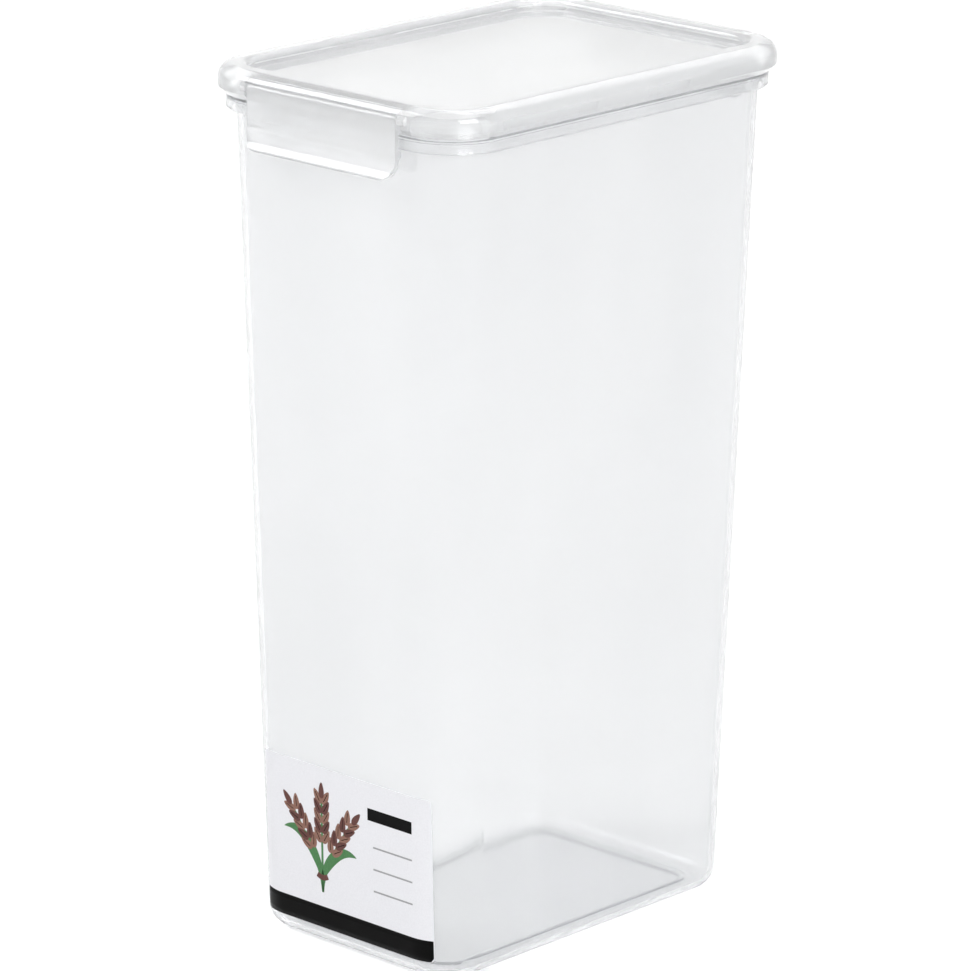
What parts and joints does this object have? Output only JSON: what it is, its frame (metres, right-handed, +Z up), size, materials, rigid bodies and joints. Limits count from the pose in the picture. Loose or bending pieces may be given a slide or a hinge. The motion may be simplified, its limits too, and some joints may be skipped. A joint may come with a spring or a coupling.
{
  "type": "food storage box",
  "caption": "Tall tapered clear plastic food storage box with a flat clear lid, a soft seal ring, swing-up end clips and a paper-like label on its front.",
  "frame": {"origin": "middle of the footprint at floor level", "axes": "+Z up, X across the short side, Y along the long side, front face with the label towards -Y"},
  "size_m": [0.1, 0.145, 0.25],
  "materials": {
    "tub_plastic": "clear, slightly milky moulded plastic, smooth",
    "lid_plastic": "clear moulded plastic, glossy",
    "clip_plastic": "clear moulded plastic, glossy",
    "seal_silicone": "translucent silicone rubber",
    "label_film": "printed film, satin"
  },
  "bodies": {
    "container": {"container": "tub_plastic", "label": "label_film"},
    "lid": {"lid": "lid_plastic", "lid_seal": "seal_silicone"},
    "front_clip": {"front_clip": "clip_plastic"},
    "rear_clip": {"rear_clip": "clip_plastic"}
  },
  "joints": [
    {"name": "lid_lift", "type": "slide", "parent": "container", "child": "lid", "axis": [0, 0, 1], "range_m": [0, 0.02]},
    {"name": "front_clip_swing", "type": "hinge", "parent": "lid", "child": "front_clip", "pos_m": [0, -0.0691, 0.2457], "axis": [-1, 0, 0], "range_deg": [0, 100]},
    {"name": "rear_clip_swing", "type": "hinge", "parent": "lid", "child": "rear_clip", "pos_m": [0, 0.0691, 0.2457], "axis": [1, 0, 0], "range_deg": [0, 100]}
  ],
  "couplings": [
    {"joint": "front_clip_swing", "follows": "lid_lift", "rad_per_m": 87.2},
    {"joint": "rear_clip_swing", "follows": "lid_lift", "rad_per_m": 87.2}
  ]
}
